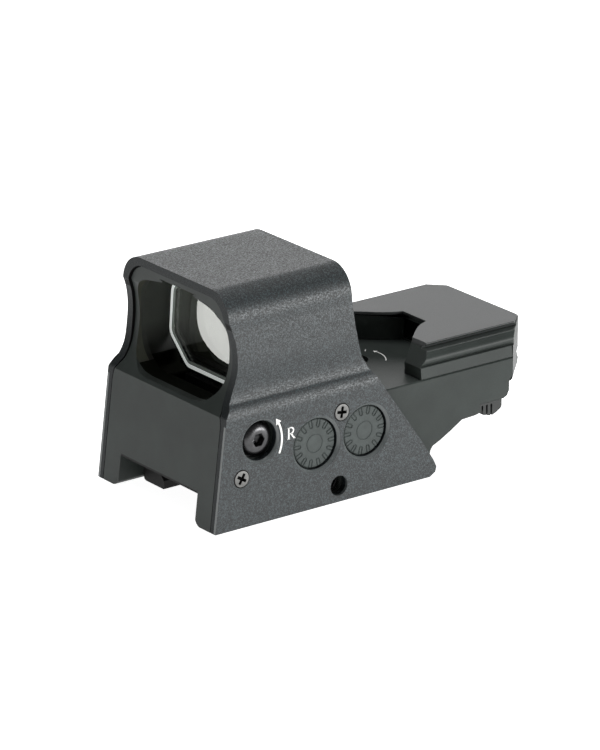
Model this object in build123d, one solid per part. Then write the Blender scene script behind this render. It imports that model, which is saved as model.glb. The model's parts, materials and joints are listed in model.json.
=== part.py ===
from build123d import *
import os

# Hooded open reflex sight (red dot sight) that clamps on a 21.2 mm accessory rail.
# Units mm. X runs from the objective end to the emitter end, Z up, and the two push buttons are
# on the -Y side. Geometry is written in stations measured from the front face; every node is
# then moved so that the origin lies on the rail seat, on the centre plane, above the clamp bolt.

# ---- driving dimensions -------------------------------------------------------------------
BOLT_X = 36.7            # station of the clamp bolt, which becomes X = 0
HALF_W = 25.0            # hood side plates
SKIRT_Z = -8.0           # lower edge of the hood and of the front legs
TOP_Z = 50.9             # hood top
INNER_W = 22.9           # inside of the hood plates
BODY_W = 22.7            # main body half width
DECK_Z = 17.1            # deck behind the window
SEAT_HALF = 16.35        # half width of the slot that straddles the rail
RAIL_HALF = 10.6         # half width of the accessory rail over its V edges
RAIL_V_Z = -2.75         # height of the rail's V edge below the rail seat
BOLT_Z = -3.73
BOLT_R = 2.0             # shank of the clamp bolt
BOLT_HEAD_R = 2.5
RING_R = 3.8             # retaining ring that keeps the clamp bolt in the side wall
KEY_X = BOLT_X - 20.02   # recoil key, two rail grooves ahead of the origin
WINDAGE = (12.9, 13.3)   # station and height of the windage adjuster
BUTTONS = (29.85, 45.2)  # stations of the two push buttons
BUTTON_Z = 8.6
BUTTON_R = 6.3
ELEV_X = 60.0            # station of the elevation adjuster on the deck
HOOD_SCREWS = ((7.2, 4.75), (37.6, 15.3))
BASE_SCREWS = ((6.6, 5.0), (62.0, 12.5))
YAW_X = 46.0             # vertical pivot of the yoke
PITCH = (25.0, 8.5)      # cross pivot of the optical bench
LENS_X, LENS_TILT = 17.0, 4.0
LENS_HALF = 18.3         # half width of the reflector lens
REAR_X = 93.2            # rear face of the main body
CORNER_X = 93.3          # where the 45 degree corners of the rear end start
END_X = 102.7            # rear end of the cap and the housing
LID_CORNER_X, LID_END_X = 92.8, 101.35
STRIP_Z = 20.1           # top of the strip along each side of the emitter housing
LID_Z, BLOCK_Z = 23.75, 24.6


# ---- helpers ------------------------------------------------------------------------------
def prism_x(pts, x0, x1):
    """Closed (y, z) outline swept along X."""
    wire = Polyline([(x0, y, z) for y, z in pts], close=True)
    return extrude(make_face(wire), amount=x1 - x0, dir=(1, 0, 0))


def prism_y(pts, y0, y1):
    """Closed (x, z) outline swept along Y."""
    wire = Polyline([(x, y0, z) for x, z in pts], close=True)
    return extrude(make_face(wire), amount=y1 - y0, dir=(0, 1, 0))


def prism_z(pts, z0, z1):
    """Closed (x, y) outline swept along Z."""
    wire = Polyline([(x, y, z0) for x, y in pts], close=True)
    return extrude(make_face(wire), amount=z1 - z0, dir=(0, 0, 1))


def block(x0, x1, y0, y1, z0, z1):
    size = (x1 - x0, y1 - y0, z1 - z0)
    return Pos((x0 + x1) / 2, (y0 + y1) / 2, (z0 + z1) / 2) * Box(*size)


def rod_y(x, z, r, y0, y1):
    return Pos(x, (y0 + y1) / 2, z) * Rot(90, 0, 0) * Cylinder(r, abs(y1 - y0))


def rod_z(x, y, r, z0, z1):
    return Pos(x, y, (z0 + z1) / 2) * Cylinder(r, abs(z1 - z0))


def rod_x(y, z, r, x0, x1):
    return Pos((x0 + x1) / 2, y, z) * Rot(0, 90, 0) * Cylinder(r, abs(x1 - x0))


def cone_y(x, z, r0, r1, y0, y1):
    """Cone frustum along +Y, radius r0 at y0 and r1 at y1 (y1 > y0)."""
    return Pos(x, (y0 + y1) / 2, z) * Rot(-90, 0, 0) * Cone(r0, r1, y1 - y0)


def mirrored(pts):
    """Completes a half outline given for positive y, from the bottom to the top."""
    return pts + [(-y, z) for y, z in reversed(pts) if y > 0]


def both(shape):
    return shape + mirror(shape, about=Plane.XZ)


def union(shapes):
    total = shapes[0]
    for s in shapes[1:]:
        total = total + s
    return total


def save(shape, name):
    os.makedirs("parts", exist_ok=True)
    export_step(Pos(-BOLT_X, 0, 0) * shape, f"parts/{name}.step")


def saddle(side, shoulder, wall, crown, z_low, x0, x1):
    """Hood-like section: flat side, rounded shoulder, waisted wall and rounded crown."""
    right = [
        Line((x0, side, z_low), (x0, side, shoulder[0][1])),
        ThreePointArc(*[(x0, y, z) for y, z in shoulder]),
        Spline([(x0, y, z) for y, z in wall], tangents=((0, -0.25, 1), (0, -0.05, 1))),
        ThreePointArc(*[(x0, y, z) for y, z in crown]),
    ]
    left = [mirror(e, about=Plane.XZ) for e in right]
    top_y, top_z = crown[-1]
    top = Line((x0, top_y, top_z), (x0, -top_y, top_z))
    base = Line((x0, side, z_low), (x0, -side, z_low))
    return extrude(make_face(right + left + [top, base]), amount=x1 - x0, dir=(1, 0, 0))


def front_cut(x_end, z_low, z_top, recess=0.0):
    """Side outline of the objective end: raked below, scooped in the middle, upright above."""
    x_up = 5.6 + recess
    low = Line((-0.85, 0, z_low), (2.7, 0, 20.8))
    scoop = ThreePointArc((2.7, 0, 20.8), (7.45 + recess, 0, 35.2), (x_up, 0, 44.1))
    up = Line((x_up, 0, 44.1), (x_up, 0, z_top))
    rest = Polyline((x_up, 0, z_top), (x_end, 0, z_top), (x_end, 0, z_low), (-0.85, 0, z_low))
    return extrude(make_face([low, scoop, up, rest]), amount=60, both=True, dir=(0, 1, 0))


# ---- hood -----------------------------------------------------------------------------------
outer = saddle(
    HALF_W,
    ((HALF_W, 19.6), (24.6, 22.0), (23.35, 24.0)),
    ((23.35, 24.0), (22.95, 26.5), (23.25, 31.0), (23.05, 36.0), (22.6, 40.5), (22.35, 43.4)),
    ((22.35, 43.4), (20.1, 48.7), (14.6, TOP_Z)),
    SKIRT_Z, -2, 72)
inner = saddle(
    INNER_W,
    ((INNER_W, 18.2), (22.3, 21.0), (20.95, 23.4)),
    ((20.95, 23.4), (20.55, 26.2), (20.9, 31.0), (20.8, 36.0), (20.4, 40.0), (20.15, 42.6)),
    ((20.15, 42.6), (18.3, 47.0), (13.8, 48.8)),
    SKIRT_Z - 1, -3, 73)
hood_side = Polyline(
    (42.5, 0, TOP_Z + 1), (42.6, 0, 42.0), (43.1, 0, 36.0), (43.9, 0, 31.5), (45.1, 0, 27.8),
    (46.7, 0, 25.0), (51.1, 0, 18.35), (61.9, 0, 3.05), (66.3, 0, -3.6), (67.25, 0, -5.6),
    (66.9, 0, -7.0), (65.2, 0, SKIRT_Z), (-3, 0, SKIRT_Z), (-3, 0, TOP_Z + 1), close=True)
hood_side = extrude(make_face(hood_side), amount=40, both=True, dir=(0, 1, 0))
hood = (outer - inner) & hood_side & front_cut(80, SKIRT_Z, TOP_Z + 2)
for x in BUTTONS:
    hood -= rod_y(x, BUTTON_Z, 6.65, -30, -20)
    hood -= cone_y(x, BUTTON_Z, 7.35, 6.65, -25.0, -24.3)
hood -= rod_y(*WINDAGE, 5.1, -30, -20)
hood -= cone_y(*WINDAGE, 5.65, 5.1, -25.0, -24.4)
hood -= rod_y(BOLT_X, BOLT_Z, BOLT_HEAD_R + 0.1, -30, -20)
for x, z in HOOD_SCREWS:
    csk = cone_y(x, z, 2.5, 1.35, -25.0, -23.7) + rod_y(x, z, 1.35, -26, -20)
    hood -= both(csk)
save(hood, "hood")

# Four identical countersunk screws hold the hood, two on each side.
def hood_screw(x, z):
    head = cone_y(x, z, 2.35, 1.25, -24.95, -23.65)
    shank = rod_y(x, z, 1.2, -23.7, -19.0)
    cross = block(x - 1.35, x + 1.35, -26, -24.2, z - 0.26, z + 0.26)
    cross += block(x - 0.26, x + 0.26, -26, -24.2, z - 1.35, z + 1.35)
    return head + shank - cross


save(union([both(hood_screw(x, z)) for x, z in HOOD_SCREWS]), "hood_screws")

# ---- main body --------------------------------------------------------------------------------
tunnel_out = saddle(
    BODY_W,
    ((BODY_W, 18.0), (22.1, 20.8), (20.75, 23.2)),
    ((20.75, 23.2), (20.35, 26.2), (20.65, 31.0), (20.55, 36.0), (20.15, 40.0), (19.9, 42.5)),
    ((19.9, 42.5), (18.05, 46.75), (13.6, 48.5)),
    SKIRT_Z, -3, 42.2)
tunnel_out &= front_cut(80, SKIRT_Z, TOP_Z + 2, recess=0.7)
rear_side = [
    (30, DECK_Z), (REAR_X, DECK_Z), (REAR_X, 12.2), (92.2, 11.2), (92.2, 8.6), (91.6, 7.3),
    (90.5, 6.75), (82.9, 6.75), (82.9, 4.5), (81.3, 4.15), (77.1, 3.95), (73.2, 1.65),
    (70.1, 0.0), (67.8, -1.0), (67.1, -2.0), (66.6, -4.2), (30, -7.0),
]
deck = prism_y(rear_side, -BODY_W, BODY_W)
deck = chamfer(deck.edges().filter_by(Axis.X).group_by(Axis.Z)[-1], 0.3)
body = tunnel_out + deck
WINDOW_SIDE = [
    (12.9, 22.0), (16.0, 24.0), (17.8, 26.4), (18.55, 29.0), (18.8, 32.5), (18.8, 38.0),
    (18.4, 41.2), (16.6, 43.8), (12.0, 45.7), (6.2, 46.85), (0.0, 47.25),
]
tunnel = mirrored([
    (18.6, 17.2), (18.8, 24.0), (19.2, 28.0), (19.5, 33.0), (19.5, 38.0), (19.1, 42.0),
    (17.8, 44.6), (15.2, 46.6), (11.0, 47.7),
])
window_side = Spline([(-5, y, z) for y, z in WINDOW_SIDE], tangents=((0, 1, 0.35), (0, -1, 0)))
sill = Polyline((-5, 12.9, 22.0), (-5, 10.0, 21.6), (-5, -10.0, 21.6), (-5, -12.9, 22.0))
window = make_face([window_side, mirror(window_side, about=Plane.XZ), sill])
body -= extrude(window, amount=17, dir=(1, 0, 0)) + prism_x(tunnel, 10.0, 50)
body -= block(10.0, 50, -18.6, 18.6, DECK_Z, 24)
body -= block(12.6, 24.1, -17.6, 17.6, 15.0, 24)
body -= block(9.0, 17.4, -17.6, -11.5, 15.0, 17.2)
LEG_CORNER = [(16.2, -6.2), (16.55, -6.95), (17.0, -7.45), (17.6, -7.8), (18.3, -7.98),
              (18.3, -8.5), (16.2, -8.5)]
body -= both(prism_x(LEG_CORNER, -3, 80))
body -= block(-3, 80, -SEAT_HALF, SEAT_HALF, -20, 0.0)
body -= block(9.0, 54.0, -17.6, 17.6, 0, 15.4)
body -= block(53.0, 65.0, -8.0, 8.0, 0, 11.4)
body -= block(4.0, 66.0, -SEAT_HALF, SEAT_HALF, -1, 3.0)
body -= block(22.3, 52.7, -26, -18.6, 1.3, 15.9)
body -= rod_y(*WINDAGE, 5.1, -26, -19.4) + rod_y(*WINDAGE, 1.56, -20, -16)
body -= rod_z(ELEV_X, 0, 3.9, 13.9, 20) + rod_z(ELEV_X, 0, 1.56, 10, 14)
body -= rod_y(BOLT_X, BOLT_Z, BOLT_HEAD_R + 0.06, -26, -19.55)
body -= rod_y(BOLT_X, BOLT_Z, BOLT_R + 0.06, -20, -10) + rod_y(BOLT_X, BOLT_Z, 4.0, -17.6, -10)
for x, z in HOOD_SCREWS:
    body -= both(rod_y(x, z, 1.25, -26, -18.8))
posts = both(block(86.0, REAR_X, 12.8, 17.0, 10.9, 15.6))
body -= block(66.5, 95, -19.0, 19.0, 10.9, 15.6) - posts
body -= block(82.0, 95, -14.5, 14.5, 15.5, 20)
body -= both(rod_x(14.9, 14.0, 0.95, 86.5, 95))
body -= block(66.5, 95, -12.6, 12.6, 5.5, 9.9)
body -= block(66.5, 95, -13.4, 13.4, 7.1, 8.3)
body -= rod_z(80.0, 0, 3.0, 9.5, 11.5)
for x, y in BASE_SCREWS:
    body -= both(rod_z(x, y, 1.05, 2, 7))
save(body, "main_body")


# ---- rail base: seat plate, fixed claw, recoil key --------------------------------------------
def claw_section(y_back):
    """Claw outline (y, z) with a 90 degree groove for the rail's edge and a rounded back."""
    return [
        (7.9, 0.5), (7.9, -0.05), (RAIL_HALF + 0.05, RAIL_V_Z), (7.6, -5.8), (7.6, -7.9),
        (7.8, -8.0), (y_back - 0.9, -8.0), (y_back - 0.3, -7.75), (y_back, -7.1), (y_back, 0.5),
    ]


base = block(4.1, 65.9, -SEAT_HALF + 0.05, SEAT_HALF - 0.05, 0, 2.9)
base += prism_x(claw_section(SEAT_HALF - 0.05), 7.0, 58.0)
base -= block(4, 66, -17, -7.8, -1, 0.4)
for x, y in BASE_SCREWS:
    base -= both(rod_z(x, y, 1.3, -9, 3) + rod_z(x, y, 2.3, -9, 1.2))
base -= rod_z(YAW_X, 0, 1.5, 0.8, 4)
base -= block(KEY_X - 2.1, KEY_X + 2.1, -7.0, 7.0, -1, 2.0)
save(base, "rail_base")


def base_screw(x, y):
    head = rod_z(x, y, 2.15, 0.1, 1.2) - rod_z(x, y, 0.9, 0.0, 0.7)
    return head + rod_z(x, y, 1.0, 1.2, 6.8)


save(union([both(base_screw(x, y)) for x, y in BASE_SCREWS]), "base_screws")
save(block(KEY_X - 2.1, KEY_X + 2.1, -7.0, 7.0, -2.4, 2.0), "recoil_key")

# ---- moving clamp jaw, its captive bolt and retaining ring --------------------------------------
jaw = mirror(prism_x(claw_section(13.8), 10.0, 56.0), about=Plane.XZ)
jaw &= block(0, 80, -20, 0, -9, 0.1)
jaw -= rod_y(BOLT_X, BOLT_Z, BOLT_R + 0.05, -20, 0)
save(jaw, "clamp_jaw")

bolt = rod_y(BOLT_X, BOLT_Z, BOLT_HEAD_R, -21.7, -19.6)
bolt = chamfer(bolt.edges().filter_by(GeomType.CIRCLE).group_by(Axis.Y)[0], 0.4)
bolt += rod_y(BOLT_X, BOLT_Z, BOLT_R, -19.7, -10.9)
bolt -= rod_y(BOLT_X, BOLT_Z, 5, -17.5, -16.7) - rod_y(BOLT_X, BOLT_Z, 1.6, -18, -16)
bolt -= Pos(BOLT_X, -20.0, BOLT_Z) * Rot(90, 0, 0) * extrude(RegularPolygon(1.5, 6), 3)
save(bolt, "clamp_bolt")
ring = rod_y(BOLT_X, BOLT_Z, RING_R, -17.48, -16.72) - rod_y(BOLT_X, BOLT_Z, 1.68, -18, -16)
save(ring, "retaining_ring")

# ---- optical bench on its yoke --------------------------------------------------------------------
yoke = prism_z([(10, -15.4), (30, -15.4), (44, -4.5), (50, -4.5), (50, 4.5), (44, 4.5),
                (30, 15.4), (10, 15.4)], 3.7, 5.5)
yoke += both(block(22.0, 28.0, 13.0, 15.4, 5.5, 11.0))
yoke += block(10.0, 15.8, -17.0, -13.2, 3.7, 16.3)
yoke -= rod_z(YAW_X, 0, 1.56, 3, 6)
yoke -= rod_y(*WINDAGE, 1.85, -18, -12)
yoke -= rod_y(*PITCH, 1.2, -16, 16)
save(yoke, "bench_yoke")
save(rod_z(YAW_X, 0, 1.5, 0.8, 5.7) + rod_z(YAW_X, 0, 2.5, 5.6, 6.6), "yaw_pin")
save(rod_y(*PITCH, 1.2, -15.3, 15.3), "pitch_pin")

bench = block(14.0, 30.0, -12.4, 12.4, 7.4, 9.8) + block(29.0, 63.4, -6.0, 6.0, 7.4, 9.8)
bench += rod_y(*PITCH, 2.6, -12.4, 12.4)
bench -= rod_y(*PITCH, 1.26, -16, 16)
bench -= rod_z(ELEV_X, 0, 1.9, 5, 12)
save(bench, "optical_bench")

cradle = block(15.8, 20.8, -10.5, 10.5, 9.8, 19.0) + block(15.0, 20.8, -9.4, 9.4, 17.6, 20.5)
cradle += block(18.6, 20.8, -16.6, 16.6, 20.4, 24.0)
cradle -= block(16.8, 19.2, -8.5, 8.5, 11.5, 17.0)
save(cradle, "lens_cradle")

lens = prism_x(mirrored([(10.2, 0), (LENS_HALF, 7.2), (LENS_HALF, 19.8), (13.2, 25.4)]), -1.1, 1.1)
lens = fillet(lens.edges().filter_by(Axis.X), 2.2)
lens = chamfer(lens.edges().group_by(Axis.X)[0], 0.7)
lens = Pos(LENS_X, 0, 20.7) * Rot(0, LENS_TILT, 0) * lens
save(lens, "reflector_lens")

# ---- windage and elevation adjusters ----------------------------------------------------------------
wx, wz = WINDAGE
screw = rod_y(wx, wz, 4.65, -24.1, -20.9)
screw = fillet(screw.edges().filter_by(GeomType.CIRCLE).group_by(Axis.Y)[0], 1.7)
screw += rod_y(wx, wz, 1.5, -21.0, -12.6)
screw -= Pos(wx, -21.9, wz) * Rot(90, 0, 0) * extrude(RegularPolygon(1.75, 6), 4)
save(screw, "windage_screw")
save(Pos(wx, -20.15, wz) * Rot(90, 0, 0) * Torus(3.6, 0.7), "windage_oring")

dial = rod_z(ELEV_X, 0, 3.5, 14.9, 16.5) + rod_z(ELEV_X, 0, 1.5, 6.6, 15.0)
dial -= block(ELEV_X - 5, ELEV_X + 5, -0.5, 0.5, 15.6, 17)
save(dial, "elevation_screw")
save(Pos(ELEV_X, 0, 14.42) * Torus(2.6, 0.45), "elevation_oring")

leaf = block(50.5, 57.6, -2.5, 2.5, 2.9, 3.4) + block(57.0, 57.6, -2.5, 2.5, 3.4, 6.6)
leaf += block(54.0, 57.6, -2.5, 2.5, 6.2, 6.8)
save(leaf, "bias_spring")

# ---- push buttons ---------------------------------------------------------------------------------------
def button(x):
    cap = rod_y(x, BUTTON_Z, BUTTON_R, -24.0, -22.6)
    cap = fillet(cap.edges().filter_by(GeomType.CIRCLE).group_by(Axis.Y)[0], 0.5)
    cap += rod_y(x, BUTTON_Z, 7.15, -22.7, -22.0) + rod_y(x, BUTTON_Z, 1.6, -22.1, -21.5)
    for i in range(14):
        rib = block(-0.35, 0.35, -24.25, -23.9, 3.6, 5.7)
        cap += Pos(x, 0, BUTTON_Z) * Rot(0, i * 360 / 14, 0) * rib
    return cap


save(button(BUTTONS[0]), "front_button")
save(button(BUTTONS[1]), "rear_button")
save(block(22.8, 52.2, -19.6, -18.8, 2.0, 13.6), "button_board")
switches = [block(x - 2.6, x + 2.6, -20.3, -19.6, BUTTON_Z - 2.6, BUTTON_Z + 2.6)
            + rod_y(x, BUTTON_Z, 1.4, -20.65, -20.2) for x in BUTTONS]
save(union(switches), "tactile_switches")

# ---- emitter housing ---------------------------------------------------------------------------------------
STRIP = [(22.35, DECK_Z), (22.65, 17.35), (22.35, STRIP_Z), (21.55, STRIP_Z + 0.15)]
BULLNOSE = [(21.55, STRIP_Z + 0.15), (21.85, 21.1), (21.4, 22.3), (20.2, 23.1), (18.3, 23.35)]
FLARE = [(79.5, 4.8), (76.3, 6.2), (72.0, 9.7), (67.6, 13.7), (64.1, 15.8)]
NOSE = [(64.1, 10), (64.1, STRIP_Z), (69.2, BLOCK_Z), (110, BLOCK_Z), (110, 10)]


def notch(z0, z1):
    """The open funnel in front of the emitter, flaring towards the window."""
    side = Spline([(x, y, z0) for x, y in FLARE], tangents=((-1, 0.25), (-1, 0.5)))
    ends = Polyline((64.1, 15.8, z0), (60, 18, z0), (60, -18, z0), (64.1, -15.8, z0))
    back = Line((79.5, 4.8, z0), (79.5, -4.8, z0))
    face = make_face([side, mirror(side, about=Plane.XZ), ends, back])
    return extrude(face, amount=z1 - z0, dir=(0, 0, 1))


def rear_plan(z0, z1, corner, end, radius):
    """Block seen from above: straight sides, 45 degree corners and a straight rear end."""
    y_end = BODY_W - (end - corner)
    right = [(60, BODY_W), (corner, BODY_W), (end, y_end)]
    plan = prism_z(right + [(x, -y) for x, y in reversed(right)], z0, z1)
    return fillet(plan.edges().filter_by(Axis.Z).group_by(Axis.X)[-1], radius)


def hump_side():
    """Section of the housing: leaning strip, rounded nose above it, flat seat for the lid."""
    strip = Polyline(*[(60, y, z) for y, z in STRIP])
    nose = Spline([(60, y, z) for y, z in BULLNOSE], tangents=((0, 0.5, 1), (0, -1, 0)))
    seat = Polyline((60, 18.3, 23.35), (60, 17.5, 23.35), (60, 17.5, LID_Z), (60, 0, LID_Z))
    half = [strip, nose, seat]
    base = Line((60, 22.35, DECK_Z), (60, -22.35, DECK_Z))
    face = make_face(half + [mirror(e, about=Plane.XZ) for e in half] + [base])
    return extrude(face, amount=50, dir=(1, 0, 0))


housing = hump_side() & prism_y(NOSE, -30, 30) & rear_plan(10, 30, CORNER_X, END_X, 3.0)
housing -= block(REAR_X, 110, -30, 30, 10, STRIP_Z + 0.1)
housing -= notch(DECK_Z - 1, 30)
housing -= block(82.0, 95, -15.0, 15.0, DECK_Z - 1, 30)
housing -= block(79.0, 83, -3.8, 3.8, DECK_Z + 0.9, 22.6) + block(79.0, 80.5, -4.4, 4.4, 17.6, 23.0)
save(housing, "emitter_housing")
save(block(79.6, 80.45, -4.35, 4.35, 17.65, 22.95), "emitter_window")

lid = prism_x(mirrored([(17.5, LID_Z), (18.15, 24.3), (18.2, 24.45), (17.95, BLOCK_Z)]), 60, 110)
lid = lid & rear_plan(LID_Z - 1, 30, LID_CORNER_X, LID_END_X, 1.2) & prism_y(NOSE, -30, 30)
lid -= notch(DECK_Z, 30)
lid += block(82.2, 91.4, -14.8, 14.8, 22.9, LID_Z)
save(lid, "emitter_lid")

save(rod_x(0, 20.4, 1.5, 81.3, 83.2), "led")
save(block(83.2, 84.2, -6.0, 6.0, 17.4, 22.6), "led_board")
save(block(68.0, 85.6, -17.5, 17.5, 12.6, 13.6) + block(85.5, 91.0, -12.2, 12.2, 12.6, 13.6),
     "main_board")

# ---- rear cap ---------------------------------------------------------------------------------------------------
cap = rear_plan(10.05, STRIP_Z, CORNER_X, END_X, 3.0)
cap = fillet(cap.edges().group_by(Axis.Z)[0].filter_by(lambda e: e.center().X > CORNER_X), 2.0)
cap -= block(50, REAR_X + 0.15, -30, 30, 0, 40)
cap -= block(93.0, 93.8, -20.3, 20.3, 11.1, 19.5)
cap -= block(90, 98.0, -11.5, 11.5, 12.8, 19.0)
cap -= both(rod_x(14.9, 14.0, 1.2, 90, 99) + rod_x(14.9, 14.0, 2.2, 97.4, 104))
save(cap, "rear_cap")


def cap_screw(y, z):
    head = rod_x(y, z, 2.05, 97.45, 99.0) - rod_x(y, z, 0.8, 98.2, 100)
    return head + rod_x(y, z, 0.9, 86.8, 97.5)


save(both(cap_screw(14.9, 14.0)), "cap_screws")
gasket = block(93.25, 93.75, -20.1, 20.1, 11.3, 19.3) - block(93, 94, -18.4, 18.4, 12.5, 18.2)
gasket += both(block(93.25, 93.75, 12.8, 18.5, 12.0, 16.4)) - both(rod_x(14.9, 14.0, 1.2, 93, 94))
save(gasket, "cap_gasket")

# ---- battery tray -------------------------------------------------------------------------------------------------
tray = block(67.5, 91.9, -12.5, 12.5, 5.6, 9.8) + both(block(67.5, 91.9, 12.0, 13.3, 7.2, 8.2))
GRIP = [(83.0, 6.65), (83.0, 4.75), (84.0, 3.6), (86.6, 2.9), (88.1, 3.4), (89.6, 4.3),
        (89.95, 4.9), (89.95, 6.65)]
grip = prism_y(GRIP, -22.6, 22.6)
for x in (83.7, 85.15, 86.6):
    grip -= both(block(x - 0.28, x + 0.28, 21.5, 23, 2, 6.1))
tray = tray + grip - rod_z(79.8, 0, 10.15, 6.4, 12) - block(89.0, 90.4, -6.0, 6.0, 6.4, 12)
save(tray, "battery_tray")
cell = rod_z(79.8, 0, 10.0, 6.45, 9.65)
cell = fillet(cell.edges().filter_by(GeomType.CIRCLE), 0.4)
save(cell, "coin_cell")
save(rod_z(80.0, 0, 2.6, 9.95, 10.9) + rod_z(80.0, 0, 1.0, 10.9, 12.6), "battery_contact")
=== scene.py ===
"""Looks of the hooded reflex sight: pieces with broken edges, turned screws, moulded buttons,
printed marks, materials, light and camera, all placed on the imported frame."""

import json
import math

import bmesh
import bpy
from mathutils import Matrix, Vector

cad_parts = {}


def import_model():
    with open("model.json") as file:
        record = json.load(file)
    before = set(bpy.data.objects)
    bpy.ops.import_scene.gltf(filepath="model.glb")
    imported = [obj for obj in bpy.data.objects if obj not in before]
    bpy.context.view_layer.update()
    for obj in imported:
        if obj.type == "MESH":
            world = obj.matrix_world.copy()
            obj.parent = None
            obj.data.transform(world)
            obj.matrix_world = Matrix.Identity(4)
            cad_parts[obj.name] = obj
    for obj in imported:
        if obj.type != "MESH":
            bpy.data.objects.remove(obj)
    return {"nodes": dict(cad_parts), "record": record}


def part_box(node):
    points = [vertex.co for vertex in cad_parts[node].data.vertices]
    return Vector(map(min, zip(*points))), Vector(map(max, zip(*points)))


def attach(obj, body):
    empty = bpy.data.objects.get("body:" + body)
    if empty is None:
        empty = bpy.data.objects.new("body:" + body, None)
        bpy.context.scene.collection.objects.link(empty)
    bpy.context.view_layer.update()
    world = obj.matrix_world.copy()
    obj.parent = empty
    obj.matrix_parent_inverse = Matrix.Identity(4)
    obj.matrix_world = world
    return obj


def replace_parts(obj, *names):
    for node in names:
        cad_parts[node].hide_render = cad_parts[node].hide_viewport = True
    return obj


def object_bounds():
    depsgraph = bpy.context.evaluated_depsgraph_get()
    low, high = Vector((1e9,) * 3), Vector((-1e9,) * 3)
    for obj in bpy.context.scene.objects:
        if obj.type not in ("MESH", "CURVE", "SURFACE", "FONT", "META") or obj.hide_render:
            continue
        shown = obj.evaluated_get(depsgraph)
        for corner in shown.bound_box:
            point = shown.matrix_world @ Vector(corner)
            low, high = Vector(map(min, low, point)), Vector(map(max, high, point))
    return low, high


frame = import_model()
cad_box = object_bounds()
nodes = frame["nodes"]
SLOT_OF = {s["node"]: s["material_slot"] for s in frame["record"]["subparts"]}
BOLT_X = 36.7      # station of the origin, measured from the front face
BODY_OF = {n: b for b, names in frame["record"]["behaviour"]["bodies"].items() for n in names}
MM = 0.001


# ---- node helpers ---------------------------------------------------------------------------
class Mat:
    """A Principled material with short calls for the procedural nodes that feed it."""

    SOCKETS = {"base_color": "Base Color", "roughness": "Roughness", "metallic": "Metallic",
               "ior": "IOR", "transmission": "Transmission Weight",
               "specular": "Specular IOR Level"}

    def __init__(self, name, base, rough, metal=0.0, **extra):
        self.m = bpy.data.materials.new(name)
        self.m.use_nodes = True
        self.t = self.m.node_tree
        self.p = self.t.nodes["Principled BSDF"]
        extra.update(base_color=(*base[:3], 1.0), roughness=rough, metallic=metal)
        for key, value in extra.items():
            self.p.inputs[self.SOCKETS[key]].default_value = value
        self.coords = self.node("ShaderNodeTexCoord").outputs

    def node(self, kind, **inputs):
        n = self.t.nodes.new(kind)
        for key, value in inputs.items():
            n.inputs[key].default_value = value
        return n

    def link(self, a, b):
        self.t.links.new(a, b)

    def noise(self, size, detail=2.0, rough=0.5):
        """Noise whose features are about `size` metres across."""
        n = self.node("ShaderNodeTexNoise", Scale=1.0 / size, Detail=detail, Roughness=rough)
        self.link(self.coords["Object"], n.inputs["Vector"])
        return n.outputs["Fac"]

    def cells(self, size):
        """Random value per cell of about `size` metres."""
        n = self.node("ShaderNodeTexVoronoi", Scale=1.0 / size)
        self.link(self.coords["Object"], n.inputs["Vector"])
        split = self.node("ShaderNodeSeparateColor")
        self.link(n.outputs["Color"], split.inputs["Color"])
        return split.outputs["Red"]

    def ramp(self, fac, stops):
        n = self.node("ShaderNodeValToRGB")
        el = n.color_ramp.elements
        while len(el) < len(stops):
            el.new(0.5)
        for e, (pos, value) in zip(el, stops):
            e.position = pos
            e.color = (*value, 1.0) if isinstance(value, tuple) else (value, value, value, 1.0)
        self.link(fac, n.inputs["Fac"])
        return n.outputs["Color"]

    def math(self, op, a, b=0.0, c=0.0):
        n = self.node("ShaderNodeMath")
        n.operation = op
        for i, v in enumerate((a, b, c)):
            if isinstance(v, (int, float)):
                n.inputs[i].default_value = v
            else:
                self.link(v, n.inputs[i])
        return n.outputs[0]

    def colour(self, sock):
        self.link(sock, self.p.inputs["Base Color"])

    def rough(self, sock):
        self.link(sock, self.p.inputs["Roughness"])

    def bump(self, height, distance, strength=1.0):
        n = self.node("ShaderNodeBump", Distance=distance, Strength=strength)
        self.link(height, n.inputs["Height"])
        self.link(n.outputs["Normal"], self.p.inputs["Normal"])

    def axes(self, name="Object"):
        """The x, y and z sockets of a coordinate output."""
        n = self.node("ShaderNodeSeparateXYZ")
        self.link(self.coords[name], n.inputs[0])
        return n.outputs

    def between(self, sock, low, high):
        """1 where the absolute value of the socket lies between low and high."""
        value = self.math("ABSOLUTE", sock)
        return self.math("MULTIPLY", self.math("GREATER_THAN", value, low),
                         self.math("LESS_THAN", value, high))

    def product(self, *socks):
        total = socks[0]
        for s in socks[1:]:
            total = self.math("MULTIPLY", total, s)
        return total

    def layer(self, mask, colour, rough, specular):
        """Lays another colour, roughness and specular over the present ones where the mask is 1, for a
        change of finish or for painted shade and highlights.
        """
        for key, value in (("Base Color", colour), ("Roughness", rough),
                           ("Specular IOR Level", specular)):
            sock = self.p.inputs[key]
            flat = key != "Base Color"
            now = sock.links[0].from_socket if sock.is_linked else sock.default_value
            n = self.node("ShaderNodeMix")
            n.data_type = "FLOAT" if flat else "RGBA"
            first, second, out = (2, 3, 0) if flat else (6, 7, 2)
            self.link(mask, n.inputs[0])
            if sock.is_linked:
                self.link(now, n.inputs[first])
            else:
                n.inputs[first].default_value = now
            if isinstance(value, bpy.types.NodeSocket):    # a colour worked out by other nodes
                self.link(value, n.inputs[second])
            else:
                n.inputs[second].default_value = value if flat else (*value, 1.0)
            self.link(n.outputs[out], sock)


def scaled(colour, k):
    return tuple(c * k for c in colour)


# ---- materials ------------------------------------------------------------------------------
# Near black used as painted shade: inside the hood and on the body's walls under it.
SHADE_PAINT_BLACK = (0.004, 0.004, 0.004)


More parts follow.
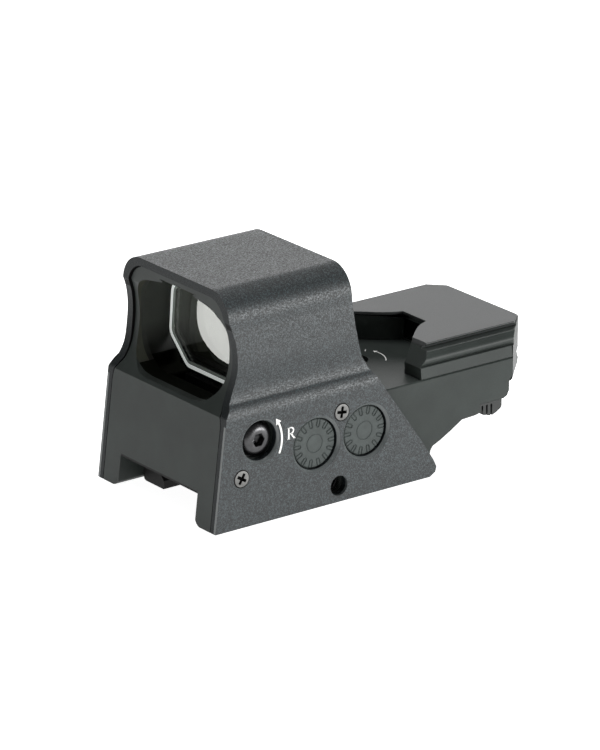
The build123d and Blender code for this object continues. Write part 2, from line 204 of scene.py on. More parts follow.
def blasted_anodised(name, dark, light):
    """Bead-blasted hard anodised alloy: fine sparkling grain, brighter where the grain catches."""
    m = Mat(name, dark, 0.5, 0.0, specular=0.47)
    grain = m.noise(0.40 * MM, 2.0, 0.7)
    speck = m.cells(0.22 * MM)
    tone = m.math("ADD", m.math("MULTIPLY", grain, 0.7), m.math("MULTIPLY", speck, 0.3))
    m.colour(m.ramp(tone, [(0.38, dark), (0.52, scaled(light, 0.30)), (0.63, light)]))
    m.rough(m.ramp(tone, [(0.36, 0.60), (0.66, 0.34)]))
    m.bump(tone, 0.07 * MM, 1.0)
    place, facing = m.axes(), m.axes("Normal")
    # The hood's end faces, chosen by facing, get a smoother finish and a lighter painted tone.
    ends = m.between(facing[0], 0.6, 1.1)
    m.layer(ends, scaled(dark, 1.5), 0.45, 0.16)
    # Painted highlight: the hole chamfers low on the hood's sides are lighter.
    chamfers = m.product(m.between(place[1], 24.2 * MM, 24.96 * MM), m.math("LESS_THAN", place[2], 0.019))
    m.layer(chamfers, (0.085, 0.095, 0.095), 0.30, 0.6)
    # Painted shade: faces turned inwards and the underside of the roof, inside the hood, are black.
    inward = m.math("LESS_THAN", m.math("MULTIPLY", facing[1], place[1]), -2.0 * MM)
    roof = m.product(m.math("LESS_THAN", facing[2], -0.3), m.math("GREATER_THAN", place[2], 30 * MM))
    m.layer(m.math("MAXIMUM", inward, roof), SHADE_PAINT_BLACK, 0.6, 0.1)
    return m.m


def satin_anodised(name, base, rough, metal=0.0, specular=0.5):
    """The material of `satin`, for parts that need no further layers."""
    return satin(name, base, rough, metal, specular).m


def satin(name, base, rough, metal=0.0, specular=0.5):
    """Smooth machined and anodised alloy with a faint cloudiness."""
    m = Mat(name, base, rough, metal, specular=specular)
    cloud = m.noise(9 * MM, 3.0)
    fine = m.noise(0.22 * MM, 2.0)
    blend = m.math("ADD", m.math("MULTIPLY", cloud, 0.6), m.math("MULTIPLY", fine, 0.4))
    m.colour(m.ramp(blend, [(0.36, scaled(base, 0.86)), (0.66, scaled(base, 1.2))]))
    m.rough(m.math("ADD", m.ramp(fine, [(0.3, rough - 0.04), (0.7, rough + 0.05)]),
                   m.math("MULTIPLY", cloud, 0.04)))
    m.bump(fine, 0.005 * MM, 0.6)
    return m


# Places on the body where its painted shade and tones change, in mm.
TUNNEL_HALF, TUNNEL_END_X = 19.75, 5.3
WINDOW_HALF, WINDOW_TOP = 18.85, 47.0
REVEAL_X, THROAT_X = -31.2, -28.2      # the window's reveal, from its front to its rear edge
LIP_X, WALL_FOOT_Z = 3.2, 17.3
SLOT_ROOF_Z, SLOT_HALF = 0.5, 16.3
BLACK_BELOW_Z = 23.5
# Near black used as painted shade in the window and tunnel; the olive tones below are for the window reveal
# and the tunnel's rear lip.
TUNNEL_SHADE = (0.003, 0.0035, 0.002)
OLIVE_REVEAL, OLIVE_LIP = (0.037, 0.039, 0.028), (0.040, 0.042, 0.028)


def body_shell(name, base, rough):
    """Satin shell. The window, tunnel, slot roof and outer walls under the hood carry painted shade, chosen
    by place on the body, so it stays the same in any light; the window reveal and rear lip are olive."""
    m = satin(name, base, rough, specular=0.19)
    place, facing = m.axes(), m.axes("Normal")
    x, y, z = place[0], place[1], place[2]
    across = m.between(y, -1.0, TUNNEL_HALF * MM)
    above = m.math("GREATER_THAN", z, SLOT_ROOF_Z * MM)
    ahead = m.math("LESS_THAN", x, TUNNEL_END_X * MM)
    low_wall = m.math("GREATER_THAN", z, WALL_FOOT_Z * MM)
    sideways = m.math("LESS_THAN", m.math("ABSOLUTE", facing[0]), 0.5)
    frame_zone = m.product(m.between(y, -1.0, WINDOW_HALF * MM), m.math("LESS_THAN", z, WINDOW_TOP * MM))
    behind_front = m.math("GREATER_THAN", x, REVEAL_X * MM)
    reveal = m.product(frame_zone, above, ahead, behind_front, sideways)
    deep = m.product(across, above, ahead, m.math("GREATER_THAN", x, THROAT_X * MM))
    inside = m.math("MAXIMUM", reveal, deep)
    # Painted shade: inside the window and tunnel the colour darkens towards the bottom.
    height = m.math("MULTIPLY", z, 20.0)      # 1 at a height of 50 mm
    m.layer(inside, m.ramp(height, [(0.47, TUNNEL_SHADE), (0.64, (0.033, 0.036, 0.031))]), 0.52, 0.25)
    m.layer(m.product(reveal, m.math("LESS_THAN", x, THROAT_X * MM)), OLIVE_REVEAL, 0.5, 0.3)
    # Painted shade: inside, below BLACK_BELOW_Z, it is near black.
    m.layer(m.product(inside, m.math("LESS_THAN", z, BLACK_BELOW_Z * MM)), TUNNEL_SHADE, 0.7, 0.03)
    m.layer(m.product(deep, m.math("GREATER_THAN", x, LIP_X * MM), low_wall), OLIVE_LIP, 0.5, 0.4)
    # Painted shade: the roof of the slot is near black.
    slot_roof = m.product(m.math("LESS_THAN", z, SLOT_ROOF_Z * MM), m.between(y, -1.0, SLOT_HALF * MM))
    m.layer(slot_roof, (0.010, 0.010, 0.010), 0.6, 0.2)
    # Painted shade: the body's outer walls under the hood are black.
    outward = m.product(m.math("GREATER_THAN", m.math("MULTIPLY", facing[1], y), 8.0 * MM),
                        low_wall, ahead, sideways)
    m.layer(outward, SHADE_PAINT_BLACK, 0.6, 0.1)
    return m.m


def head_steel(name, base, rough):
    """Screw heads set flush in the hood: bright face, with painted shade in the cross recess and outline.
    """
    m = steel(name, base, rough)
    # Painted shade: all that lies below the head's face, the cross recess, is black and not metal.
    m.layer(m.between(m.axes()[1], 0.0, 24.9 * MM), (0.006, 0.006, 0.006), 0.6, 0.1)
    metal = m.math("GREATER_THAN", m.math("ABSOLUTE", m.axes()[1]), 24.9 * MM)
    m.link(metal, m.p.inputs["Metallic"])
    return m.m


def turned_steel(name, base, rough):
    """The material of `steel`, for parts that need no further layers."""
    return steel(name, base, rough).m


def steel(name, base, rough):
    """Headed or turned steel, a little stained, with fine tool marks."""
    m = Mat(name, base, rough, 1.0)
    fine = m.noise(0.12 * MM, 2.0)
    stain = m.noise(1.6 * MM, 2.0)
    m.colour(m.ramp(stain, [(0.3, scaled(base, 0.72)), (0.7, base)]))
    m.rough(m.ramp(fine, [(0.3, rough - 0.08), (0.7, rough + 0.1)]))
    m.bump(fine, 0.008 * MM, 0.5)
    return m


def moulded_rubber(name, base, rough=0.62, specular=0.35):
    m = Mat(name, base, rough, 0.0, specular=specular)
    fine = m.noise(0.18 * MM, 3.0)
    dust = m.noise(2.2 * MM, 4.0)
    m.colour(m.ramp(dust, [(0.35, base), (0.75, scaled(base, 1.35))]))
    m.rough(m.ramp(fine, [(0.3, rough - 0.05), (0.7, rough + 0.08)]))
    m.bump(fine, 0.012 * MM, 0.7)
    return m.m


def plastic(name, base, rough=0.45, grain=0.25, specular=0.5, glow=0.0):
    """Plain even finish; `glow` stands for light that the glass guides to its ground rim."""
    m = Mat(name, base, rough, 0.0, specular=specular)
    m.p.inputs["Emission Color"].default_value = (*base, 1.0)
    m.p.inputs["Emission Strength"].default_value = glow
    fine = m.noise(grain * MM, 2.0)
    m.colour(m.ramp(m.noise(5 * MM, 3.0), [(0.3, scaled(base, 0.88)), (0.7, base)]))
    m.rough(m.ramp(fine, [(0.3, rough - 0.06), (0.7, rough + 0.08)]))
    m.bump(fine, 0.01 * MM, 0.6)
    return m.m


def optical_glass(name, tint, mirror=0.0):
    """Clear glass with faint wipe marks; `mirror` is the share of a neutral reflecting coating."""
    m = Mat(name, tint, 0.0, mirror, transmission=1.0, ior=1.5)
    m.rough(m.ramp(m.noise(6 * MM, 2.0), [(0.3, 0.0), (0.8, 0.02)]))
    return m.m


MATERIALS = {
    "blasted_shell": blasted_anodised("blasted_shell", (0.006, 0.008, 0.0085), (0.038, 0.051, 0.055)),
    "smooth_shell": body_shell("smooth_shell", (0.027, 0.0325, 0.030), 0.42),
    "lid_shell": satin_anodised("lid_shell", (0.029, 0.0325, 0.0325), 0.45),
    "plain_alloy": satin_anodised("plain_alloy", (0.62, 0.62, 0.63), 0.34, 1.0),
    "bright_steel": head_steel("bright_steel", (0.17, 0.17, 0.165), 0.36),
    "dark_steel": turned_steel("dark_steel", (0.075, 0.075, 0.077), 0.30),
    "cell_steel": turned_steel("cell_steel", (0.72, 0.72, 0.71), 0.24),
    "contact_brass": turned_steel("contact_brass", (0.80, 0.62, 0.30), 0.26),
    "coated_glass": optical_glass("coated_glass", (0.93, 0.95, 0.90), 0.28),
    "dark_glass": plastic("dark_glass", (0.002, 0.002, 0.002), 0.15, 2.0, 0.2),
    "button_rubber": moulded_rubber("button_rubber", (0.038, 0.046, 0.044)),
    "seal_rubber": moulded_rubber("seal_rubber", (0.006, 0.006, 0.006), 0.6, 0.15),
    "board": plastic("board", (0.012, 0.10, 0.045), 0.35, 0.6),
    "switch_plastic": plastic("switch_plastic", (0.02, 0.02, 0.02)),
    "tray_plastic": plastic("tray_plastic", (0.026, 0.028, 0.027), 0.5, 0.3, 0.3),
    "led_resin": plastic("led_resin", (0.45, 0.05, 0.03), 0.2, 1.0),
}
# Near black for the lens cradle, and as painted shade in the lens's dark lines and round the hood screw
# heads.
INNER_BLACK = plastic("inner_black", (0.005, 0.005, 0.005), 0.7, 0.3, 0.15)
# Whitish ground rim of the glass, with a painted glow: emission that stands for light the plate guides to
# its rim.
GROUND_GLASS_AND_PAINTED_GLOW = plastic("ground_glass_and_painted_glow", (0.88, 0.93, 0.90), 0.25, 0.2, glow=0.36)
CLEAR_GLASS = optical_glass("clear_glass", (0.85, 0.89, 0.84))
# Green edge band of the glass, with a faint painted glow.
GREEN_GLASS_AND_PAINTED_GLOW = plastic("green_glass_and_painted_glow", (0.30, 0.34, 0.31), 0.3, 0.2, glow=0.05)
# Bevel faces: a smoother satin finish, a little lighter than the smooth shells as a painted highlight.
SATIN_EDGE_AND_HIGHLIGHT = satin_anodised("satin_edge_and_highlight", (0.034, 0.038, 0.036), 0.36, 0.0, 0.4)
WHITE_INK = plastic("white_ink", (0.86, 0.86, 0.84), 0.55, 0.12)
for node_name, cad_object in nodes.items():
    cad_object.data.materials.clear()
    cad_object.data.materials.append(MATERIALS[SLOT_OF[node_name]])


# ---- piece helpers --------------------------------------------------------------------------
def put(name, bm, material, node, shade_angle=35.0):
    """Turns a bmesh into a piece that stands for a CAD node and rides on its body."""
    mesh = bpy.data.meshes.new(name)
    bmesh.ops.recalc_face_normals(bm, faces=bm.faces)
    bm.to_mesh(mesh)
    bm.free()
    mesh.materials.append(material)
    mesh.shade_smooth()
    mesh.set_sharp_from_angle(angle=math.radians(shade_angle))
    piece = bpy.data.objects.new(name, mesh)
    bpy.context.scene.collection.objects.link(piece)
    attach(piece, BODY_OF[node])
    return piece


def apply_modifiers(piece):
    graph = bpy.context.evaluated_depsgraph_get()
    final = bpy.data.meshes.new_from_object(piece.evaluated_get(graph))
    piece.modifiers.clear()
    piece.data = final


def broken_edges(node, width, angle=32.0, material=None, edge=None):
    """A node's own shape with its sharp edges broken by a small rounded bevel."""
    bm = bmesh.new()
    bm.from_mesh(nodes[node].data)
    bmesh.ops.remove_doubles(bm, verts=bm.verts, dist=2e-6)
    bmesh.ops.dissolve_limit(bm, angle_limit=math.radians(0.4), verts=bm.verts, edges=bm.edges)
    piece = put(node + "_finished", bm, material or MATERIALS[SLOT_OF[node]], node, 60.0)
    if "custom_normal" in piece.data.attributes:
        piece.data.attributes.remove(piece.data.attributes["custom_normal"])
    bevel = piece.modifiers.new("bevel", "BEVEL")
    bevel.width = width * MM
    bevel.segments = 2
    bevel.limit_method = "ANGLE"
    bevel.angle_limit = math.radians(angle)
    bevel.miter_outer = "MITER_ARC"
    if edge:
        piece.data.materials.append(edge)
        bevel.material = 1
    weigh = piece.modifiers.new("weigh", "WEIGHTED_NORMAL")
    weigh.keep_sharp = True
    apply_modifiers(piece)
    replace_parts(piece, node)
    return piece


def paint(piece, material, test):
    """Gives the faces whose centre and normal pass the test another material."""
    piece.data.materials.append(material)
    index = len(piece.data.materials) - 1
    for face in piece.data.polygons:
        if test(face.center / MM, face.normal):
            face.material_index = index


def circle(r):
    return lambda angle: r


def hexagon(apothem):
    return lambda angle: apothem / math.cos(angle % (math.pi / 3) - math.pi / 6)


def cross(length, half_width, turn=0.0):
    """Plan of a cross recess."""
    def radius(angle):
        off_axis = (angle + turn + math.pi / 4) % (math.pi / 2) - math.pi / 4
        return min(length, half_width / max(abs(math.sin(off_axis)), 1e-6))
    return radius


def slot_plan(length, half_width, turn=0.0):
    def radius(angle):
        return min(length, half_width / max(abs(math.sin(angle + turn)), 1e-6))
    return radius


AXES = {"-y": ((1, 0, 0), (0, 0, 1), (0, -1, 0)), "+y": ((1, 0, 0), (0, 0, 1), (0, 1, 0)),
        "+z": ((1, 0, 0), (0, 1, 0), (0, 0, 1)), "-z": ((1, 0, 0), (0, 1, 0), (0, 0, -1)),
        "+x": ((0, 1, 0), (0, 0, 1), (1, 0, 0))}


def spun(bm, centre, facing, rings, segments=120):
    """Adds a closed turned solid; each ring is (radius or plan, height along `facing`), in mm."""
    u, v, w = (Vector(a) for a in AXES[facing])
    loops = []
    for plan, height in rings:
        plan = plan if callable(plan) else circle(plan)
        loop = []
        for i in range(segments):
            angle = 2 * math.pi * i / segments
            r = plan(angle)
            at = Vector(centre) + u * r * math.cos(angle) + v * r * math.sin(angle) + w * height
            loop.append(bm.verts.new(at * MM))
        loops.append(loop)
    for a, b in zip(loops, loops[1:]):
        for i in range(segments):
            j = (i + 1) % segments
            bm.faces.new((a[i], a[j], b[j], b[i]))
    bm.faces.new(loops[0])
    bm.faces.new(loops[-1])


def arc(centre_r, centre_h, radius, start, end, steps=6):
    """Rings along a rounded edge, angles in degrees from the outward radius."""
    rings = []
    for i in range(steps + 1):
        a = math.radians(start + (end - start) * i / steps)
        rings.append((centre_r + radius * math.cos(a), centre_h + radius * math.sin(a)))
    return rings


def mid(node):
    low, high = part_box(node)
    return (low + high) / 2 / MM


# ---- finished shells ------------------------------------------------------------------------
def make_shells():
    """Castings and machined parts: the CAD shape with its edges broken."""
    broken_edges("hood", 0.16)
    broken_edges("main_body", 0.14, edge=SATIN_EDGE_AND_HIGHLIGHT)
    for node, width in (("emitter_housing", 0.30), ("emitter_lid", 0.16), ("rear_cap", 0.20),
                        ("battery_tray", 0.18), ("rail_base", 0.15), ("clamp_jaw", 0.15)):
        broken_edges(node, width, edge=SATIN_EDGE_AND_HIGHLIGHT)
    for node, width in (("recoil_key", 0.2), ("bench_yoke", 0.12), ("optical_bench", 0.12)):
        broken_edges(node, width)
    broken_edges("lens_cradle", 0.12, material=INNER_BLACK)


LENS_OUTLINE = [(10.2, 0.0), (18.3, 7.2), (18.3, 19.8), (13.2, 25.4)]
BAND_OUTLINE = [(10.0, 0.9), (18.2, 7.8), (18.2, 19.7), (13.15, 25.3)]
LENS_CORNER = 3.5
LENS_STATION, LENS_FOOT_Z, LENS_TILT = 17.0, 20.7, 4.0


def rounded(points, radius, steps=5):
    """Closed outline with every corner rounded."""
    out = []
    count = len(points)
    for i, p in enumerate(points):
        p = Vector(p)
        back = (Vector(points[i - 1]) - p).normalized()
        ahead = (Vector(points[(i + 1) % count]) - p).normalized()
        half = back.angle(ahead) / 2
        centre = p + (back + ahead).normalized() * radius / math.sin(half)
        start, end = p + back * radius / math.tan(half), p + ahead * radius / math.tan(half)
        for k in range(steps + 1):
            on_chord = start.lerp(end, k / steps)
            out.append(centre + (on_chord - centre).normalized() * radius)
    return out


def inset(points, distance):
    """Outline moved inwards; the points run anticlockwise."""
    out = []
    for i, p in enumerate(points):
        along = (points[(i + 1) % len(points)] - points[i - 1]).normalized()
        out.append(p + Vector((-along.y, along.x)) * distance)
    return out


def make_lens():
    """Reflector plate: clear faces inside a polished band, a dark line and a ground rim; the dark lines are
    painted shade, and the band and the rim have a painted glow.
    """
    outline, band = (rounded(half + [(-y, z) for y, z in reversed(half)], LENS_CORNER)
                     for half in (LENS_OUTLINE, BAND_OUTLINE))
    tilt = math.radians(LENS_TILT)
    foot = Vector((LENS_STATION - BOLT_X, 0, LENS_FOOT_Z))
    bm = bmesh.new()
    loops = []
    rings = ((band, 1.85, -1.1), (band, 1.2, -1.1), (band, 1.05, -1.1), (band, 0.05, -1.1),
             (outline, 0.2, -1.08), (outline, 0.0, -0.85), (outline, 0.0, 1.0), (outline, 0.15, 1.1))
    for path, distance, x in rings:
        loop = []
        for y, z in inset(path, distance):
            at = Vector((x * math.cos(tilt) + z * math.sin(tilt), y,
                         z * math.cos(tilt) - x * math.sin(tilt)))
            loop.append(bm.verts.new((at + foot) * MM))
        loops.append(loop)
    # Slots: 0 coated glass; 1 ground rim and 3 band, both with a painted glow; 2 black, painted shade
    # lines; 4 clear glass.
    strips = (3, 2, 1, 2, 2, 4, 4)
    for a, b, slot in zip(loops, loops[1:], strips):
        for i in range(len(a)):
            j = (i + 1) % len(a)
            bm.faces.new((a[i], a[j], b[j], b[i])).material_index = slot
    bm.faces.new(loops[0])
    bm.faces.new(loops[-1]).material_index = 4
    lens = put("reflector_plate", bm, MATERIALS["coated_glass"], "reflector_lens", 12.0)
    for material in (GROUND_GLASS_AND_PAINTED_GLOW, INNER_BLACK, GREEN_GLASS_AND_PAINTED_GLOW, CLEAR_GLASS):
        lens.data.materials.append(material)
    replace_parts(lens, "reflector_lens")


# ---- screws -----------------------------------------------------------------------------------
HOOD_SCREWS = ((-29.5, 4.75, 0.55), (0.9, 15.3, 0.15))


def make_hood_screws():
    """Countersunk cross-head screws, two on each side of the hood."""
    bm = bmesh.new()
    half_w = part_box("hood")[1].y / MM
    for x, z, turn in HOOD_SCREWS:
        for side, facing in ((-1, "-y"), (1, "+y")):
            recess = cross(1.5, 0.40, turn)
            bottom = cross(0.95, 0.26, turn)
            rings = [(1.2, -6.0), (1.2, -1.35), (2.28, -0.27), (2.36, -0.18), (2.33, -0.10),
                     (2.05, -0.03), (recess, -0.03), (cross(1.44, 0.36, turn), -0.12),
                     (bottom, -1.15), (0.12, -1.35)]
            spun(bm, (x, side * half_w, z), facing, rings, 144)
    heads = put("cross_head_screws", bm, MATERIALS["bright_steel"], "hood_screws")
    # Painted shade: the head's outer ring is black, for the dark gap round it.
    paint(heads, INNER_BLACK, lambda c, n: min(math.hypot(c.x - x, c.z - z)
                                               for x, z, _ in HOOD_SCREWS) > 2.05)
    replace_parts(heads, "hood_screws")


def make_windage_screw():
    """Domed head with a hexagon socket over a thin flange."""
    bm = bmesh.new()
    at = mid("windage_screw")
    at.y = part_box("hood")[0].y / MM
    dome = arc(2.0, -3.5, 2.6, 0, 90, 14)
    rings = [(1.5, -12.3), (1.5, -4.15), (4.95, -4.15), (5.0, -4.0), (5.0, -3.75), (4.9, -3.6),
             (4.45, -3.55)] + dome + [(hexagon(1.62), -0.9),
             (hexagon(1.5), -1.05), (hexagon(1.5), -2.9), (0.3, -3.5)]
    spun(bm, at, "-y", rings, 144)
    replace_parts(put("windage_head", bm, MATERIALS["dark_steel"], "windage_screw"), "windage_screw")


def make_clamp_bolt():
    """Captive screw with a hexagon socket, a neck for its retaining ring and a bright head rim, a painted
    highlight.
    """
    bm = bmesh.new()
    at = mid("clamp_bolt")
    low, high = (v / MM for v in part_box("clamp_bolt"))
    at.y = low.y
    length = low.y - high.y
    rings = [(1.7, length), (2.0, length + 0.3), (2.0, -5.05), (1.6, -5.05), (1.6, -4.15), (2.0, -4.15),
             (2.0, -2.15), (2.5, -2.05), (2.5, -0.35), (2.35, -0.1), (2.1, 0.0),
             (hexagon(1.4), 0.0), (hexagon(1.28), -0.1), (hexagon(1.28), -1.5), (0.2, -1.9)]
    spun(bm, at, "-y", rings, 120)
    screw = put("clamp_screw", bm, MATERIALS["dark_steel"], "clamp_bolt")
    # Painted highlight: the head's rim is bright steel, for the light caught in the bolt's hole.
    paint(screw, MATERIALS["cell_steel"],
          lambda c, n: c.y < low.y + 0.5 and math.hypot(c.x - at.x, c.z - at.z) > 2.05)
    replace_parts(screw, "clamp_bolt")


def make_elevation_screw():
    """Flat slotted dial, level with the deck."""
    bm = bmesh.new()
    low, high = (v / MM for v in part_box("elevation_screw"))
    at = (low + high) / 2
    at.z = high.z
    rings = [(1.2, low.z - high.z), (1.5, low.z - high.z + 0.3), (1.5, -1.55), (3.5, -1.5),
             (3.5, -0.3), (3.3, -0.06), (3.05, 0.0), (slot_plan(3.0, 0.5, 0.4), 0.0),
             (slot_plan(2.95, 0.42, 0.4), -0.1), (slot_plan(2.9, 0.42, 0.4), -0.9), (0.2, -0.92)]
    spun(bm, at, "+z", rings, 120)
    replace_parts(put("elevation_dial", bm, MATERIALS["dark_steel"], "elevation_screw"), "elevation_screw")


BASE_SCREWS = ((-30.1, 5.0), (25.3, 12.5))


def make_base_screws():
    """Four socket screws that hold the rail base, seen from below."""
    bm = bmesh.new()
    for x, y in BASE_SCREWS:
        for side in (-1, 1):
            rings = [(0.9, -6.7), (1.0, -6.4), (1.0, -1.1), (2.15, -1.1), (2.15, -0.15), (2.0, 0.0),
                     (hexagon(0.95), 0.0), (hexagon(0.85), -0.1), (hexagon(0.85), -0.7), (0.1, -0.8)]
            spun(bm, (x, side * y, 0.1), "-z", rings, 96)
    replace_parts(put("base_cap_screws", bm, MATERIALS["dark_steel"], "base_screws"), "base_screws")


CAP_SCREW_Y, CAP_SCREW_Z = 14.9, 14.0
PLUG_LINE = 13.3 - 0.05     # half width of the flat rear face, less a little


def make_cap_screws():
    """Two socket screws that hold the rear cap."""
    bm = bmesh.new()
    low, high = (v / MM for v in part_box("cap_screws"))
    for y in (-CAP_SCREW_Y, CAP_SCREW_Y):
        rings = [(0.8, low.x - high.x), (0.9, low.x - high.x + 0.3), (0.9, -1.55), (2.05, -1.5),
                 (2.05, -0.2), (1.85, 0.0), (hexagon(0.95), 0.0), (hexagon(0.85), -0.1),
                 (hexagon(0.85), -0.8), (0.1, -0.9)]
        spun(bm, (high.x, y, CAP_SCREW_Z), "+x", rings, 96)
    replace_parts(put("end_cap_screws", bm, MATERIALS["dark_steel"], "cap_screws"), "cap_screws")


def make_screw_plugs():
    """Plugs over the two cap screws, flush with the rear corners; they have no CAD node."""
    bm = bmesh.new()
    low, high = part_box("rear_cap")
    end = high.x / MM
    for y in (-CAP_SCREW_Y, CAP_SCREW_Y):
        spun(bm, (0.0, y, CAP_SCREW_Z), "+x", [(2.0, end - 3.45), (2.16, end - 3.3), (2.16, end)], 96)
    for v in bm.verts:
        corner = end + PLUG_LINE - abs(v.co.y) / MM
        v.co.x = min(v.co.x / MM, corner, end - 0.05) * MM
    put("cap_screw_plugs", bm, MATERIALS["smooth_shell"], "rear_cap")


# ---- buttons ------------------------------------------------------------------------------------
BUTTON_R, NOTCHES = 6.3, 14


def button_height(r, angle):
    """Depth of the moulded face: a ring round the middle and U-shaped pockets at the rim."""
    depth = 0.15 * math.exp(-((r - 2.35) / 0.13) ** 2)
    sector = 2 * math.pi / NOTCHES
    off = (angle + sector / 2) % sector - sector / 2
    along, across = r * math.cos(off), r * math.sin(off)
    distance = math.hypot(min(along - 4.65, 0.0), across) - 0.42
    groove = math.exp(-(distance / 0.13) ** 2)
    return -(depth + 0.24 * groove)


def make_button(node):
    """Rubber button: polar grid for the face, then the rounded rim, skirt and flange."""
    bm = bmesh.new()
    at = mid(node)
    top = -24.0
    segments, rows = 420, 62
    flat_r = BUTTON_R - 0.45
    loops = []

    def loop(radius, height):
        ring = []
        for i in range(segments):
            angle = 2 * math.pi * i / segments
            ring.append(bm.verts.new(Vector((at.x + radius * math.cos(angle), top - height(radius, angle),
                                             at.z + radius * math.sin(angle))) * MM))
        loops.append(ring)

    for k in range(1, rows + 1):
        loop(flat_r * k / rows, button_height)
    for k in range(1, 6):
        a = math.radians(90 * k / 5)
        fade = math.cos(a)
        loop(flat_r + 0.45 * math.sin(a), lambda r, t, a=a, fade=fade:
             0.45 * (math.cos(a) - 1) + fade * button_height(r, t))
    for radius, height in ((BUTTON_R, -1.3), (7.15, -1.35), (7.15, -2.0), (1.6, -2.0), (1.6, -2.5)):
        loop(radius, lambda r, t, height=height: height)
    for a, b in zip(loops, loops[1:]):
        for i in range(segments):
            j = (i + 1) % segments
            bm.faces.new((a[i], a[j], b[j], b[i]))
    bm.faces.new(loops[0])
    bm.faces.new(loops[-1])
    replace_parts(put(node + "_moulded", bm, MATERIALS["button_rubber"], node, 50.0), node)


# ---- printed marks ------------------------------------------------------------------------------
INK = 0.025      # thickness of the print
DECK_Z = 17.1


def strip(bm, centre_line, half_widths, place):
    """A thin printed band along a line of (a, b) points; place maps (a, b, height) to a position."""
    rows = []
    for i, ((a, b), h) in enumerate(zip(centre_line, half_widths)):
        before = Vector(centre_line[max(i - 1, 0)])
        after = Vector(centre_line[min(i + 1, len(centre_line) - 1)])
        along = (after - before).normalized()
        side = Vector((-along.y, along.x)) * h
        corners = [(a + side.x, b + side.y, 0.0), (a + side.x, b + side.y, INK),
                   (a - side.x, b - side.y, INK), (a - side.x, b - side.y, 0.0)]
        rows.append([bm.verts.new(Vector(place(*c)) * MM) for c in corners])
    for p, q in zip(rows, rows[1:]):
        for i in range(4):
            j = (i + 1) % 4
            bm.faces.new((p[i], p[j], q[j], q[i]))
    bm.faces.new(rows[0])
    bm.faces.new(rows[-1])


def arc_points(centre, radius, start, end, steps=16):
    return [(centre[0] + radius * math.cos(math.radians(start + (end - start) * i / steps)),
             centre[1] + radius * math.sin(math.radians(start + (end - start) * i / steps)))
            for i in range(steps + 1)]


def printed(name, bm):
    return put(name, bm, WHITE_INK, "hood")


def make_side_marks():
    """Direction arrow round the windage screw and the letter R beside it."""
    side_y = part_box("hood")[0].y / MM
    centre = mid("windage_screw")

    def place(a, b, height):
        return (a, side_y - height, b)

    bm = bmesh.new()
    around = (centre.x - 2.6, centre.z - 0.6)
    line = arc_points(around, 8.95, -25, 27)
    strip(bm, line, [0.26] * len(line), place)
    tip = arc_points(around, 8.95, 27, 37, 2)
    strip(bm, tip, [0.85, 0.42, 0.02], place)
    x0, z0, height = centre.x + 8.1, centre.z - 1.5, 3.1
    stem = 0.21
    strip(bm, [(x0 + 0.3, z0), (x0 + 0.3, z0 + height)], [stem, stem], place)
    bowl = [(x0 + 0.3, z0 + height - 0.12), (x0 + 1.0, z0 + height - 0.12)]
    bowl += arc_points((x0 + 1.0, z0 + height - 0.87), 0.75, 90, -90, 10) + [(x0 + 0.3, z0 + height - 1.62)]
    strip(bm, bowl, [0.13] * 3 + [0.2] * 9 + [0.13] * (len(bowl) - 12), place)
    strip(bm, [(x0 + 0.95, z0 + height - 1.6), (x0 + 2.05, z0)], [0.2, 0.2], place)
    serifs = ((x0 - 0.1, z0 + 0.07, 0.8), (x0 - 0.1, z0 + height - 0.07, 0.6),
              (x0 + 1.75, z0 + 0.07, 0.6))
    for a, b, w in serifs:
        strip(bm, [(a, b), (a + w, b)], [0.07, 0.07], place)
    return printed("side_marks", bm)


def make_deck_marks():
    """Curved arrow and a short dash round the elevation screw, on the deck."""
    centre = mid("elevation_screw")

    def place(a, b, height):
        return (a, b, DECK_Z + height)

    bm = bmesh.new()
    line = arc_points((centre.x, centre.y), 8.3, -42, 8, 14)
    strip(bm, line, [0.13] * len(line), place)
    strip(bm, arc_points((centre.x, centre.y), 8.3, 8, 15, 2), [0.55, 0.3, 0.02], place)
    strip(bm, [(centre.x + 6.3, 3.2), (centre.x + 7.1, 4.0)], [0.12, 0.12], place)
    return printed("deck_marks", bm)


make_shells()
make_lens()
make_hood_screws()
make_windage_screw()
make_clamp_bolt()
make_elevation_screw()
make_base_screws()
make_cap_screws()
make_screw_plugs()
for button in ("front_button", "rear_button"):
    make_button(button)
make_side_marks()
make_deck_marks()


# ---- stage: floor, light and camera -------------------------------------------------------------
low, high = cad_box
CENTRE = Vector([(a + b) / 2 for a, b in zip(low, high)])
FLOOR_Z = low[2]


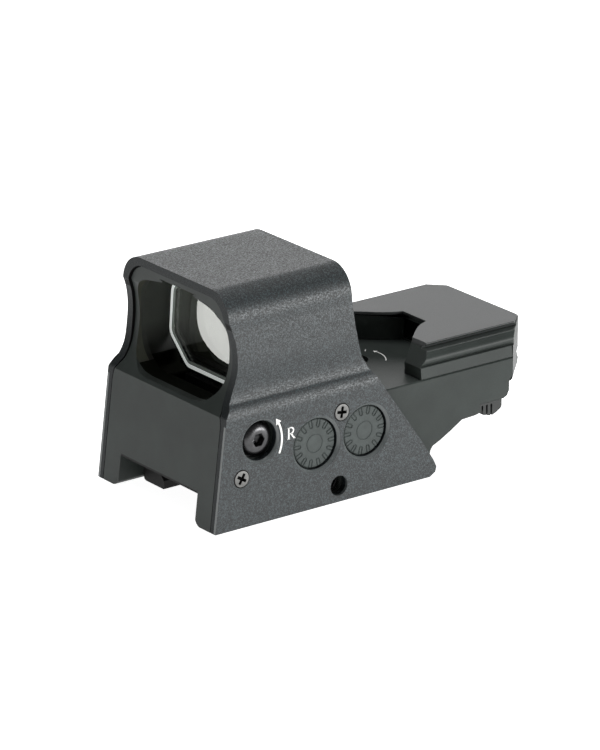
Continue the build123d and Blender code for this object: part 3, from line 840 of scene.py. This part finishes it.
def floor():
    """Pale light table under the object."""
    bpy.ops.mesh.primitive_plane_add(size=6.0, location=(0, 0, FLOOR_Z - 0.0002))
    plane = bpy.context.object
    plane.name = "floor"
    m = Mat("floor_paper", (0.90, 0.90, 0.90), 0.9, 0.0, specular=0.1)
    m.colour(m.ramp(m.noise(0.15), [(0.3, 0.88), (0.7, 0.92)]))
    m.p.inputs["Emission Color"].default_value = (1, 1, 1, 1)
    m.p.inputs["Emission Strength"].default_value = 0.95
    plane.data.materials.append(m.m)


def area(name, position, size, power, colour=(1, 1, 1)):
    light = bpy.data.lights.new(name, "AREA")
    light.shape = "RECTANGLE"
    light.size, light.size_y = size
    light.energy = power
    light.color = colour
    lamp = bpy.data.objects.new(name, light)
    lamp.location = position
    lamp.rotation_euler = (CENTRE - Vector(position)).to_track_quat("-Z", "Y").to_euler()
    lamp.visible_camera = False
    bpy.context.scene.collection.objects.link(lamp)


def world(strength):
    w = bpy.data.worlds.new("studio")
    bpy.context.scene.world = w
    w.use_nodes = True
    back = w.node_tree.nodes["Background"]
    back.inputs["Color"].default_value = (1, 1, 1, 1)
    back.inputs["Strength"].default_value = strength


AZIMUTH, ELEVATION = math.radians(-36.78), math.radians(19.81)
CAMERA_AT = Vector((-0.66682, -0.90097, 0.42174))
SENSOR, LENS = 36.0, 230.3


def camera():
    cam = bpy.data.cameras.new("camera")
    cam.sensor_fit = "VERTICAL"
    cam.sensor_height = SENSOR
    cam.lens = LENS
    cam.clip_start, cam.clip_end = 0.05, 20.0
    eye = bpy.data.objects.new("camera", cam)
    eye.location = CAMERA_AT
    eye.rotation_euler = (math.pi / 2 - ELEVATION, 0.0, AZIMUTH)
    bpy.context.scene.collection.objects.link(eye)
    bpy.context.scene.camera = eye


floor()
world(0.14)
area("top_softbox", (0.05, 0.05, 0.95), (0.7, 0.7), 6.0)
area("back_softbox", (0.75, 1.05, 0.42), (1.3, 0.6), 5.6)
area("side_softbox", (0.70, -0.85, 0.16), (0.7, 0.25), 10.5)
camera()
bpy.context.scene.view_settings.view_transform = "Standard"
